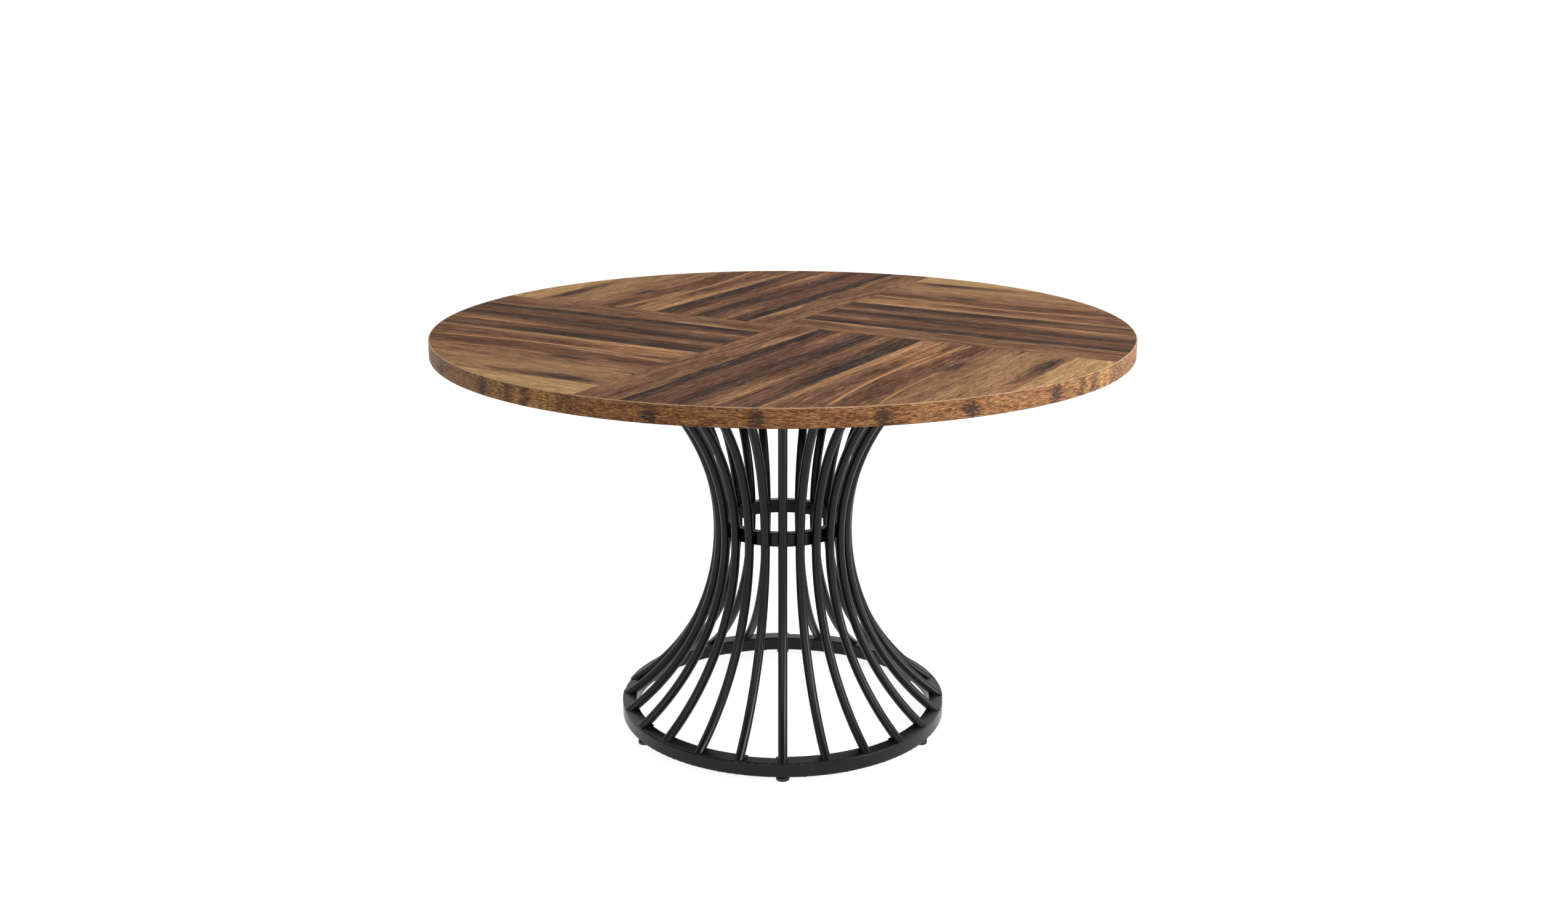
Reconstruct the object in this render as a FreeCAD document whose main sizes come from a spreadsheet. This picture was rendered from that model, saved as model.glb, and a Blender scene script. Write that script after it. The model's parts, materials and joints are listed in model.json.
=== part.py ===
import FreeCAD, Part
import os
import Sketcher

# Round table: a laminated board on a cage of bent tubes. Millimetres, +Z up, the origin on the floor
# under the board's centre, and the front towards -Y.

# Counts and angles
FULL_TURN = 360
FRONT_ANGLE = -90
PANELS = 8
TUBES_PER_PANEL = 3
FEET = 6
HEX_SIDES = 6
TUBE_PITCH = FULL_TURN / (PANELS * TUBES_PER_PANEL)
PANEL_PITCH = FULL_TURN / PANELS
PANEL_SPAN = TUBE_PITCH * (TUBES_PER_PANEL - 1)
PANEL_ANGLE = FRONT_ANGLE + PANEL_SPAN / 2
BOLT_ANGLE = TUBE_PITCH / 2
ROUNDING = 1e-6

ORIGIN = FreeCAD.Vector(0, 0, 0)
UP = FreeCAD.Vector(0, 0, 1)

# Driving dimensions
SIZES = {
    # tabletop
    "table_height": 720,
    "top_diameter": 1200,
    "top_thickness": 30,
    "laminate_thickness": 0.8,
    "backer_thickness": 0.8,
    "band_thickness": 2,
    "band_edge_radius": 1.2,
    "glue_line": 0.5,
    # rings of square tube, at the floor and under the board
    "ring_diameter": 560,
    "ring_tube_size": 25,
    "ring_wall": 1.5,
    "ring_corner_radius": 2.5,
    # arc plates that the tubes are welded to
    "plate_thickness": 1.5,
    "plate_overhang": 12,
    # bent tubes
    "tube_diameter": 16,
    "tube_wall": 1.2,
    "tube_inset": 1.3,
    "waist_diameter": 231,
    "waist_share": 0.509,
    # ring inside the tubes at the waist
    "waist_ring_width": 16,
    "waist_ring_height": 24,
    "waist_ring_rise": 9,
    "waist_ring_wall": 1.5,
    "waist_ring_corner_radius": 2,
    "weld_gap": 0.1,
    # levelling feet
    "pad_diameter": 23,
    "pad_height": 6,
    "pad_edge_radius": 1.2,
    "pad_floor": 2,
    "pin_diameter": 6,
    "pin_end_clearance": 0.5,
    "hex_width": 13,
    "hex_height": 1.8,
    "stud_diameter": 8,
    "stud_end_clearance": 2,
    "running_clearance": 0.08,
    # threaded inserts for the feet
    "foot_insert_flange": 15,
    "foot_insert_flange_thickness": 0.8,
    "foot_insert_diameter": 11,
    "foot_insert_length": 13,
    # bolts that hold the plates to the rings
    "bolt_diameter": 6,
    "bolt_head_diameter": 10.5,
    "bolt_head_height": 3.3,
    "bolt_socket_width": 4,
    "bolt_socket_depth": 2,
    "bolt_engagement": 12,
    "bolt_tip_clearance": 1,
    "weld_nut_diameter": 10,
    "weld_nut_height": 8,
    "board_insert_diameter": 9,
    "board_insert_length": 15,
    # screws that hold the waist ring to the tubes
    "screw_diameter": 5,
    "screw_head_diameter": 9,
    "screw_head_height": 2.7,
    "screw_socket_width": 3,
    "screw_socket_depth": 1.6,
    "rivet_nut_diameter": 7,
    "rivet_nut_length": 9,
    # fits, all radial
    "hole_clearance": 0.25,
    "seat_clearance": 0.1,
    "thread_clearance": 0.05,
}

doc = FreeCAD.newDocument("round_table")
dims = doc.addObject("Spreadsheet::Sheet", "dims")
for row, (alias, number) in enumerate(SIZES.items(), start=1):
    dims.set(f"A{row}", alias)
    dims.set(f"B{row}", str(number))
    dims.setAlias(f"B{row}", alias)
doc.recompute()

# Heights and radii that follow from the driving dimensions, as expressions
TOP_RADIUS = "(dims.top_diameter / 2)"
CORE_RADIUS = f"({TOP_RADIUS} - dims.band_thickness - dims.glue_line)"
TOP_BASE = "(dims.table_height - dims.top_thickness)"
CORE_BASE = f"({TOP_BASE} + dims.backer_thickness)"
LAMINATE_BASE = "(dims.table_height - dims.laminate_thickness)"

RING_RADIUS = "(dims.ring_diameter / 2)"
RING_INSIDE = f"({RING_RADIUS} - dims.ring_tube_size / 2)"
RING_OUTSIDE = f"({RING_RADIUS} + dims.ring_tube_size / 2)"
LOWER_RING_BASE = "(dims.pad_height + dims.hex_height + dims.foot_insert_flange_thickness)"
LOWER_PLATE_BASE = f"({LOWER_RING_BASE} + dims.ring_tube_size)"
TUBE_FOOT = f"({LOWER_PLATE_BASE} + dims.plate_thickness)"
UPPER_RING_BASE = f"({TOP_BASE} - dims.ring_tube_size)"
TUBE_HEAD = f"({UPPER_RING_BASE} - dims.plate_thickness)"

WAIST_RADIUS = "(dims.waist_diameter / 2)"
TUBE_RADIUS = "(dims.tube_diameter / 2)"
TUBE_FLARE = f"({RING_RADIUS} - dims.tube_inset - {WAIST_RADIUS})"
WAIST_HEIGHT = f"({TUBE_FOOT} + dims.waist_share * ({TUBE_HEAD} - {TUBE_FOOT}))"
TUBE_DROP = f"({WAIST_HEIGHT} - {TUBE_FOOT})"
TUBE_RISE = f"({TUBE_HEAD} - {WAIST_HEIGHT})"
LOWER_BEND = f"(({TUBE_FLARE}^2 + {TUBE_DROP}^2) / (2 * {TUBE_FLARE}))"
UPPER_BEND = f"(({TUBE_FLARE}^2 + {TUBE_RISE}^2) / (2 * {TUBE_FLARE}))"

WAIST_RING_OUTSIDE = f"({WAIST_RADIUS} - {TUBE_RADIUS} - dims.weld_gap)"
WAIST_RING_INSIDE = f"({WAIST_RING_OUTSIDE} - dims.waist_ring_width)"
WAIST_RING_CENTRE = f"({WAIST_HEIGHT} + dims.waist_ring_rise)"
WAIST_RING_BASE = f"({WAIST_RING_CENTRE} - dims.waist_ring_height / 2)"
RIVET_NUT_FACE = f"({WAIST_RADIUS} - {TUBE_RADIUS})"

PIN_LENGTH = "(dims.pad_height - dims.pad_floor - dims.pin_end_clearance)"
HEX_TOP = "(dims.pad_height + dims.hex_height)"
STUD_TOP = f"({LOWER_PLATE_BASE} - dims.ring_wall - dims.stud_end_clearance)"
BOLT_HOLE = "(dims.bolt_diameter / 2 + dims.hole_clearance)"
SCREW_HOLE = "(dims.screw_diameter / 2 + dims.hole_clearance)"
SCREW_FACE = f"(sqrt({WAIST_RING_INSIDE}^2 - (dims.screw_head_diameter / 2)^2) - dims.seat_clearance)"

nodes = []


def value(expression):
    """Number that an expression of the sheet's cells gives, in millimetres or degrees."""
    result = dims.evalExpression(expression)
    return float(getattr(result, "Value", result))


def turned(angle):
    """Placement turned about the upright axis."""
    return FreeCAD.Placement(ORIGIN, FreeCAD.Rotation(UP, angle))


def origin_part(body, role):
    """Plane or axis of a body's own origin."""
    return next(part for part in body.Origin.OriginFeatures if part.Role == role)


def new_body(label, angle=0):
    """Body whose X axis points outwards at an angle round the table."""
    body = doc.addObject("PartDesign::Body", label)
    body.Label = label
    body.Placement = turned(angle)
    return body


def new_sketch(body, plane, height=None, angle=0):
    """Sketch on one of a body's origin planes, lifted off it and turned in it."""
    sketch = body.newObject("Sketcher::SketchObject", "Sketch")
    sketch.AttachmentSupport = [(origin_part(body, plane), "")]
    sketch.MapMode = "FlatFace"
    sketch.AttachmentOffset = turned(angle)
    if height:
        sketch.setExpression("AttachmentOffset.Base.z", height)
    return sketch


def bind(sketch, constraint, expression):
    """Add a sketch constraint that holds the size given by an expression."""
    index = sketch.addConstraint(constraint)
    sketch.setExpression(f"Constraints[{index}]", expression)


def draw_circle(sketch, radius, across=None, up=None):
    """Circle at the sketch's origin, or at distances across and up from it."""
    centre = FreeCAD.Vector(value(across) if across else 0, value(up) if up else 0, 0)
    circle = sketch.addGeometry(Part.Circle(centre, UP, value(radius)))
    if across:
        bind(sketch, Sketcher.Constraint("DistanceX", -1, 1, circle, 3, centre.x), across)
    else:
        sketch.addConstraint(Sketcher.Constraint("PointOnObject", circle, 3, -2))
    if up and centre.y < 0:
        bind(sketch, Sketcher.Constraint("DistanceY", circle, 3, -1, 1, -centre.y), f"-{up}")
    elif up:
        bind(sketch, Sketcher.Constraint("DistanceY", -1, 1, circle, 3, centre.y), up)
    else:
        sketch.addConstraint(Sketcher.Constraint("PointOnObject", circle, 3, -1))
    bind(sketch, Sketcher.Constraint("Radius", circle, value(radius)), radius)


def draw_bolt_circles(sketch, radius):
    """Two circles on the ring's centre line, in the gaps beside a panel's middle tube."""
    across = f"({RING_RADIUS} * cos({BOLT_ANGLE}))"
    aside = f"({RING_RADIUS} * sin({BOLT_ANGLE}))"
    for up in (aside, f"(-{aside})"):
        draw_circle(sketch, radius, across, up)


def draw_rectangle(sketch, left, right, bottom, top):
    """Upright rectangle between two radii and two heights."""
    x_low, x_high, y_low, y_high = (value(edge) for edge in (left, right, bottom, top))
    corners = [FreeCAD.Vector(x_low, y_low, 0), FreeCAD.Vector(x_high, y_low, 0),
               FreeCAD.Vector(x_high, y_high, 0), FreeCAD.Vector(x_low, y_high, 0)]
    ends = corners[1:] + corners[:1]
    lines = [sketch.addGeometry(Part.LineSegment(*pair)) for pair in zip(corners, ends)]
    floor, right_side, ceiling, left_side = lines
    for line, following in zip(lines, lines[1:] + lines[:1]):
        sketch.addConstraint(Sketcher.Constraint("Coincident", line, 2, following, 1))
    for level in (floor, ceiling):
        sketch.addConstraint(Sketcher.Constraint("Horizontal", level))
    for upright in (right_side, left_side):
        sketch.addConstraint(Sketcher.Constraint("Vertical", upright))
    bind(sketch, Sketcher.Constraint("DistanceX", -1, 1, floor, 1, x_low), left)
    bind(sketch, Sketcher.Constraint("DistanceX", -1, 1, floor, 2, x_high), right)
    bind(sketch, Sketcher.Constraint("DistanceY", -1, 1, floor, 1, y_low), bottom)
    bind(sketch, Sketcher.Constraint("DistanceY", -1, 1, ceiling, 1, y_high), top)


def draw_axis(sketch, across):
    """Construction line square to the sketch's first axis, which a section is turned about."""
    foot = FreeCAD.Vector(value(across), 0, 0)
    end = FreeCAD.Vector(value(across), value(TUBE_RADIUS), 0)
    line = sketch.addGeometry(Part.LineSegment(foot, end), True)
    sketch.addConstraint(Sketcher.Constraint("Vertical", line))
    sketch.addConstraint(Sketcher.Constraint("PointOnObject", line, 1, -1))
    bind(sketch, Sketcher.Constraint("DistanceX", -1, 1, line, 1, foot.x), across)
    bind(sketch, Sketcher.Constraint("DistanceY", line, 1, line, 2, end.y), TUBE_RADIUS)


def pad(body, sketch, length):
    """Extrude a sketch upwards."""
    feature = body.newObject("PartDesign::Pad", "Pad")
    feature.Profile = sketch
    feature.setExpression("Length", length)
    return feature


def pocket(body, sketch, length=None, outwards=False):
    """Cut a sketch into the solid, against its normal or along it, to a depth or right through."""
    feature = body.newObject("PartDesign::Pocket", "Pocket")
    feature.Profile = sketch
    feature.Reversed = outwards
    if length:
        feature.setExpression("Length", length)
    else:
        feature.Type = "ThroughAll"
    return feature


def revolve(body, sketch, angle=None):
    """Turn a sketch about the upright axis, all the way round or through an angle split by its plane."""
    feature = body.newObject("PartDesign::Revolution", "Revolution")
    feature.Profile = sketch
    feature.ReferenceAxis = (sketch, ["V_Axis"])
    feature.Angle = FULL_TURN
    if angle:
        feature.Midplane = True
        feature.setExpression("Angle", angle)
    return feature


def repeat_round(body, features, count):
    """Repeat features evenly round the upright axis."""
    pattern = body.newObject("PartDesign::PolarPattern", "PolarPattern")
    pattern.Originals = features
    pattern.Axis = (origin_part(body, "Z_Axis"), [""])
    pattern.Angle = FULL_TURN
    pattern.Occurrences = count
    body.Tip = pattern


def round_edges(body, base, radius, chosen):
    """Round the circular edges of a feature that a test of their radius and height chooses."""
    doc.recompute()
    names = []
    for index, edge in enumerate(base.Shape.Edges, start=1):
        if isinstance(edge.Curve, Part.Circle) and chosen(edge.Curve.Radius, edge.Curve.Center.z):
            names.append(f"Edge{index}")
    feature = body.newObject("PartDesign::Fillet", "Fillet")
    feature.Base = (base, names)
    feature.setExpression("Radius", radius)
    return feature


def is_near(first, second):
    """Whether two lengths are the same, apart from rounding."""
    return abs(first - second) < ROUNDING


# Tabletop
def make_disc(label, base, thickness):
    """Round sheet of the board, turned so that its X axis points along the first panel."""
    body = new_body(label, PANEL_ANGLE)
    outline = new_sketch(body, "XY_Plane", base)
    draw_circle(outline, CORE_RADIUS)
    pad(body, outline, thickness)
    nodes.append(body)
    return body


def make_core():
    """Board core with blind holes for the threaded inserts."""
    thickness = "dims.top_thickness - dims.backer_thickness - dims.laminate_thickness"
    body = make_disc("tabletop_core", CORE_BASE, thickness)
    holes = new_sketch(body, "XY_Plane", CORE_BASE)
    draw_bolt_circles(holes, "(dims.board_insert_diameter / 2 + dims.seat_clearance)")
    cut = pocket(body, holes, "dims.board_insert_length", outwards=True)
    repeat_round(body, [cut], PANELS)


def make_backer():
    """Balancing sheet under the core, bored for the bolts."""
    body = make_disc("tabletop_backer", TOP_BASE, "dims.backer_thickness")
    holes = new_sketch(body, "XY_Plane", CORE_BASE)
    draw_bolt_circles(holes, BOLT_HOLE)
    cut = pocket(body, holes)
    repeat_round(body, [cut], PANELS)


def make_edge_band():
    """Band round the board's edge, rounded at its outer corners."""
    body = new_body("edge_band")
    section = new_sketch(body, "XZ_Plane")
    inside = f"({TOP_RADIUS} - dims.band_thickness)"
    draw_rectangle(section, inside, TOP_RADIUS, TOP_BASE, "dims.table_height")
    band = revolve(body, section)
    outside = value(TOP_RADIUS)
    round_edges(body, band, "dims.band_edge_radius", lambda radius, height: is_near(radius, outside))
    nodes.append(body)


# Rings
def make_ring(label, inside, outside, base, size, wall, corner):
    """Hollow ring of four-sided tube with rounded outer corners."""
    body = new_body(label, PANEL_ANGLE)
    section = new_sketch(body, "XZ_Plane")
    draw_rectangle(section, inside, outside, base, f"({base} + {size})")
    draw_rectangle(section, f"({inside} + {wall})", f"({outside} - {wall})",
                   f"({base} + {wall})", f"({base} + {size} - {wall})")
    ring = revolve(body, section)
    low = value(base)
    high = value(f"({base} + {size})")
    round_edges(body, ring, corner, lambda radius, height: is_near(height, low) or is_near(height, high))
    nodes.append(body)
    return body


def make_square_ring(label, base):
    """Ring that the plates are bolted to, at a height."""
    return make_ring(label, RING_INSIDE, RING_OUTSIDE, base, "dims.ring_tube_size", "dims.ring_wall",
                     "dims.ring_corner_radius")


def make_bottom_ring():
    """Ring at the floor, bored for the feet, for the bolts and for the weld nuts."""
    body = make_square_ring("bottom_ring", LOWER_RING_BASE)
    inner_floor = f"({LOWER_RING_BASE} + dims.ring_wall)"
    foot_hole = new_sketch(body, "XY_Plane", inner_floor, FRONT_ANGLE - PANEL_ANGLE)
    draw_circle(foot_hole, "(dims.foot_insert_diameter / 2 + dims.seat_clearance)", RING_RADIUS)
    repeat_round(body, [pocket(body, foot_hole)], FEET)
    bolt_holes = new_sketch(body, "XY_Plane", inner_floor)
    draw_bolt_circles(bolt_holes, BOLT_HOLE)
    repeat_round(body, [pocket(body, bolt_holes)], PANELS)
    nut_holes = new_sketch(body, "XY_Plane", f"({LOWER_PLATE_BASE} - dims.ring_wall)")
    draw_bolt_circles(nut_holes, "(dims.weld_nut_diameter / 2 + dims.seat_clearance)")
    repeat_round(body, [pocket(body, nut_holes, outwards=True)], PANELS)


def make_top_ring():
    """Ring under the board, bored right through for the bolts."""
    body = make_square_ring("top_ring", UPPER_RING_BASE)
    bolt_holes = new_sketch(body, "XY_Plane", TOP_BASE)
    draw_bolt_circles(bolt_holes, BOLT_HOLE)
    repeat_round(body, [pocket(body, bolt_holes)], PANELS)


def make_waist_ring():
    """Ring inside the waist, bored for the screws."""
    body = make_ring("waist_ring", WAIST_RING_INSIDE, WAIST_RING_OUTSIDE, WAIST_RING_BASE,
                     "dims.waist_ring_height", "dims.waist_ring_wall", "dims.waist_ring_corner_radius")
    screw_hole = new_sketch(body, "YZ_Plane")
    draw_circle(screw_hole, SCREW_HOLE, up=WAIST_RING_CENTRE)
    repeat_round(body, [pocket(body, screw_hole, outwards=True)], PANELS)


# Arc plates
def make_plate(label, base):
    """Flat plate along the ring, at the ends of one panel's tubes."""
    body = new_body(label)
    section = new_sketch(body, "XZ_Plane")
    draw_rectangle(section, RING_INSIDE, RING_OUTSIDE, base, f"({base} + dims.plate_thickness)")
    span = f"{PANEL_SPAN} deg + 2 * dims.plate_overhang / {RING_RADIUS} * 1 rad"
    revolve(body, section, span)
    return body


def make_upper_plate():
    """Plate under the top ring, bored for the bolts into the board."""
    body = make_plate("upper_plate", TUBE_HEAD)
    bolt_holes = new_sketch(body, "XY_Plane", UPPER_RING_BASE)
    draw_bolt_circles(bolt_holes, BOLT_HOLE)
    pocket(body, bolt_holes)
    return body


# Bent tubes
def bend_tube(body, radius, upwards):
    """Tube bent outwards from the waist by a quarter turn, which runs past its cut."""
    section = new_sketch(body, "XY_Plane", WAIST_HEIGHT)
    draw_circle(section, TUBE_RADIUS, WAIST_RADIUS)
    draw_circle(section, f"({TUBE_RADIUS} - dims.tube_wall)", WAIST_RADIUS)
    draw_axis(section, f"({WAIST_RADIUS} + {radius})")
    feature = body.newObject("PartDesign::Revolution", "Bend")
    feature.Profile = section
    feature.ReferenceAxis = (section, ["Axis0"])
    feature.Reversed = not upwards
    feature.Angle = FULL_TURN / 4


def trim_tube(body, radius, height, upwards):
    """Cut the end of a bend level, out to the bend's farthest reach."""
    waste = new_sketch(body, "XY_Plane", height)
    draw_circle(waste, f"({WAIST_RADIUS} + {radius} + dims.tube_diameter)")
    pocket(body, waste, outwards=upwards)


def make_tube(label):
    """Tube bent outwards from the waist to both rings, and cut level at its ends."""
    body = new_body(label)
    bend_tube(body, LOWER_BEND, upwards=False)
    bend_tube(body, UPPER_BEND, upwards=True)
    trim_tube(body, LOWER_BEND, TUBE_FOOT, upwards=False)
    trim_tube(body, UPPER_BEND, TUBE_HEAD, upwards=True)
    return body


def make_bored_tube():
    """Tube with a hole on its inner side for the waist ring's rivet nut."""
    body = make_tube("bored_tube")
    nut_hole = new_sketch(body, "YZ_Plane", WAIST_RADIUS)
    draw_circle(nut_hole, "(dims.rivet_nut_diameter / 2 + dims.seat_clearance)", up=WAIST_RING_CENTRE)
    pocket(body, nut_hole)
    return body


# Levelling feet, made on the Z axis
def make_foot_pad():
    """Round pad with a socket for the stud's pin."""
    body = new_body("foot_pad")
    outline = new_sketch(body, "XY_Plane")
    draw_circle(outline, "(dims.pad_diameter / 2)")
    disc = pad(body, outline, "dims.pad_height")
    outside = value("dims.pad_diameter / 2")
    round_edges(body, disc, "dims.pad_edge_radius", lambda radius, height: is_near(radius, outside))
    socket = new_sketch(body, "XY_Plane", "dims.pad_height")
    draw_circle(socket, "(dims.pin_diameter / 2 + dims.running_clearance)")
    pocket(body, socket, "dims.pad_height - dims.pad_floor")
    return body


def make_cylinder(label, radius, base, height):
    """Upright cylinder on the Z axis."""
    cylinder = doc.addObject("Part::Cylinder", label)
    cylinder.setExpression("Radius", radius)
    cylinder.setExpression("Height", height)
    cylinder.setExpression("Placement.Base.z", base)
    return cylinder


def make_hexagon(label, width, base, height):
    """Upright hexagonal prism on the Z axis, sized across its flats."""
    prism = doc.addObject("Part::Prism", label)
    prism.Polygon = HEX_SIDES
    prism.setExpression("Circumradius", f"{width} / 2 / cos({FULL_TURN / HEX_SIDES / 2})")
    prism.setExpression("Height", height)
    prism.setExpression("Placement.Base.z", base)
    return prism


def make_foot_stud():
    """Threaded stud with a hexagon to turn it by, and a pin that swivels in the pad."""
    pin_base = f"dims.pad_height - {PIN_LENGTH}"
    stud = doc.addObject("Part::MultiFuse", "foot_stud")
    stud.Shapes = [
        make_cylinder("stud_pin", "dims.pin_diameter / 2", pin_base, PIN_LENGTH),
        make_hexagon("stud_hexagon", "dims.hex_width", "dims.pad_height", "dims.hex_height"),
        make_cylinder("stud_thread", "dims.stud_diameter / 2", HEX_TOP, f"{STUD_TOP} - {HEX_TOP}"),
    ]
    return stud


# Fasteners, made on the Z axis
def make_cut(label, base, tool):
    """Solid with another one taken out of it."""
    cut = doc.addObject("Part::Cut", label)
    cut.Base = base
    cut.Tool = tool
    return cut


def make_bolt(label, head, radius, length):
    """Bolt whose shank starts at zero height, with a hexagon socket in its head."""
    head_radius, height, socket_width, socket_depth = head
    solid = doc.addObject("Part::Fuse", f"{label}_solid")
    solid.Base = make_cylinder(f"{label}_head", head_radius, f"-{height}", height)
    solid.Tool = make_cylinder(f"{label}_shank", radius, "0", length)
    socket = make_hexagon(f"{label}_socket", socket_width, f"-{height}", socket_depth)
    return make_cut(label, solid, socket)


def make_bush(label, radius, bore, height):
    """Threaded bush that stands at zero height."""
    solid = make_cylinder(f"{label}_solid", radius, "0", height)
    hole = make_cylinder(f"{label}_bore", bore, "0", height)
    return make_cut(label, solid, hole)


def make_foot_insert():
    """Flanged insert whose flange lies below zero height."""
    flange = "dims.foot_insert_flange_thickness"
    solid = doc.addObject("Part::Fuse", "foot_insert_solid")
    solid.Base = make_cylinder("foot_insert_rim", "dims.foot_insert_flange / 2", f"-{flange}", flange)
    solid.Tool = make_cylinder("foot_insert_body", "dims.foot_insert_diameter / 2", "0",
                               "dims.foot_insert_length")
    bore = make_cylinder("foot_insert_bore", "dims.stud_diameter / 2 + dims.running_clearance",
                         f"-{flange}", f"dims.foot_insert_length + {flange}")
    return make_cut("foot_insert", solid, bore)


# Placed copies
def make_copy(label, pattern, place):
    """Copy of a piece at a place."""
    copy = doc.addObject("App::Link", label)
    copy.Label = label
    copy.LinkedObject = pattern
    copy.LinkTransform = False
    copy.Placement = place
    return copy


def add_copies(label, pattern, places):
    """One node for each place, numbered from 1."""
    for number, place in enumerate(places, start=1):
        nodes.append(make_copy(f"{label}_{number}", pattern, place))


def add_group(label, pattern, places):
    """One node of identical pieces, one at each place."""
    group = doc.addObject("Part::Compound", label)
    group.Label = label
    group.Links = [make_copy(f"{pattern.Label}_copy", pattern, place) for place in places]
    nodes.append(group)


def add_tubes():
    """One node for each tube, numbered from the front; the middle tube of each panel is bored."""
    plain = make_tube("plain_tube")
    bored = make_bored_tube()
    for number in range(PANELS * TUBES_PER_PANEL):
        is_middle = number % TUBES_PER_PANEL == TUBES_PER_PANEL // 2
        pattern = bored if is_middle else plain
        place = turned(FRONT_ANGLE + number * TUBE_PITCH)
        nodes.append(make_copy(f"leg_tube_{number + 1:02d}", pattern, place))


def panel_places():
    """One turn about the upright axis for each panel, counted from the first."""
    return [turned(PANEL_ANGLE + panel * PANEL_PITCH) for panel in range(PANELS)]


def ring_place(angle, height):
    """Place on the ring's centre line, at an angle and a height."""
    spot = FreeCAD.Vector(value(RING_RADIUS), 0, value(height))
    return turned(angle).multiply(FreeCAD.Placement(spot, FreeCAD.Rotation()))


def bolt_places(height):
    """Places at a height, in the two gaps between each panel's tubes."""
    places = []
    for panel in range(PANELS):
        for side in (-BOLT_ANGLE, BOLT_ANGLE):
            places.append(ring_place(PANEL_ANGLE + panel * PANEL_PITCH + side, height))
    return places


def foot_places(height):
    """Places at a height, one for each foot."""
    return [ring_place(FRONT_ANGLE + foot * FULL_TURN / FEET, height) for foot in range(FEET)]


def waist_places(radius):
    """Places that point outwards at a radius, at the middle tube of each panel."""
    across = FreeCAD.Rotation(FreeCAD.Vector(0, 1, 0), FULL_TURN / 4)
    spot = FreeCAD.Vector(value(radius), 0, value(WAIST_RING_CENTRE))
    outwards = FreeCAD.Placement(spot, across)
    return [place.multiply(outwards) for place in panel_places()]


make_core()
make_disc("tabletop_laminate", LAMINATE_BASE, "dims.laminate_thickness")
make_backer()
make_edge_band()
make_bottom_ring()
make_top_ring()
make_waist_ring()
add_copies("lower_plate", make_plate("lower_plate", LOWER_PLATE_BASE), panel_places())
add_group("upper_plates", make_upper_plate(), panel_places())
add_tubes()
add_copies("foot_pad", make_foot_pad(), foot_places("0"))
add_copies("foot_stud", make_foot_stud(), foot_places("0"))

bolt_head = ("dims.bolt_head_diameter / 2", "dims.bolt_head_height", "dims.bolt_socket_width",
             "dims.bolt_socket_depth")
screw_head = ("dims.screw_head_diameter / 2", "dims.screw_head_height", "dims.screw_socket_width",
              "dims.screw_socket_depth")
upper_bolt = make_bolt("upper_bolt", bolt_head, "dims.bolt_diameter / 2",
                       f"{CORE_BASE} + dims.bolt_engagement - {TUBE_HEAD}")
lower_bolt = make_bolt("lower_bolt", bolt_head, "dims.bolt_diameter / 2",
                       "dims.ring_tube_size - dims.bolt_tip_clearance")
waist_screw = make_bolt("waist_screw", screw_head, "dims.screw_diameter / 2",
                        f"{RIVET_NUT_FACE} + dims.rivet_nut_length - {SCREW_FACE}")
bolt_bore = "dims.bolt_diameter / 2 + dims.thread_clearance"
weld_nut = make_bush("weld_nut", "dims.weld_nut_diameter / 2", bolt_bore, "dims.weld_nut_height")
board_insert = make_bush("board_insert", "dims.board_insert_diameter / 2", bolt_bore,
                         "dims.board_insert_length")
rivet_nut = make_bush("rivet_nut", "dims.rivet_nut_diameter / 2",
                      "dims.screw_diameter / 2 + dims.thread_clearance", "dims.rivet_nut_length")
foot_insert = make_foot_insert()

add_group("upper_panel_bolts", upper_bolt, bolt_places(TUBE_HEAD))
add_group("board_inserts", board_insert, bolt_places(CORE_BASE))
add_group("lower_panel_bolts", lower_bolt, bolt_places(LOWER_RING_BASE))
add_group("lower_weld_nuts", weld_nut, bolt_places(f"({LOWER_PLATE_BASE} - dims.weld_nut_height)"))
add_group("waist_screws", waist_screw, waist_places(SCREW_FACE))
add_group("waist_rivet_nuts", rivet_nut, waist_places(RIVET_NUT_FACE))
add_group("foot_inserts", foot_insert, foot_places(LOWER_RING_BASE))
doc.recompute()

# Tests of every object before anything is written
for item in doc.Objects:
    if {"Invalid", "Error"} & set(item.State):
        raise RuntimeError(f"{item.Label} failed: {item.State}")
    if item.TypeId == "PartDesign::Pocket" and item.Shape.Volume >= item.BaseFeature.Shape.Volume:
        raise RuntimeError(f"{item.Label} cuts nothing")
shapes = {node.Label: Part.getShape(node) for node in nodes}
for label, shape in shapes.items():
    if shape.isNull() or not shape.isValid():
        raise RuntimeError(f"{label} has no valid shape")

os.makedirs("parts", exist_ok=True)
for label, shape in shapes.items():
    shape.exportStep(f"parts/{label}.step")
print(len(shapes), "nodes written")
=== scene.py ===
import json
import math

import bmesh
import bpy
from mathutils import Matrix, Vector


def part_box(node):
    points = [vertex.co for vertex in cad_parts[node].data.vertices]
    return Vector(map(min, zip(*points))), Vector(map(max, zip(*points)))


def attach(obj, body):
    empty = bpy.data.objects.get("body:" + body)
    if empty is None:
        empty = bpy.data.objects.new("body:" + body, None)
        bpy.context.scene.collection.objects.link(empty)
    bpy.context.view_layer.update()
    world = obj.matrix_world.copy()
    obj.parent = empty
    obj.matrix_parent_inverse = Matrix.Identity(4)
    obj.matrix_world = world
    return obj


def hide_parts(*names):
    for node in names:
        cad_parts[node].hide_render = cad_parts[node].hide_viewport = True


# Looks of the round table: materials for the CAD nodes, threaded studs for its feet, and a plain studio

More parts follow.
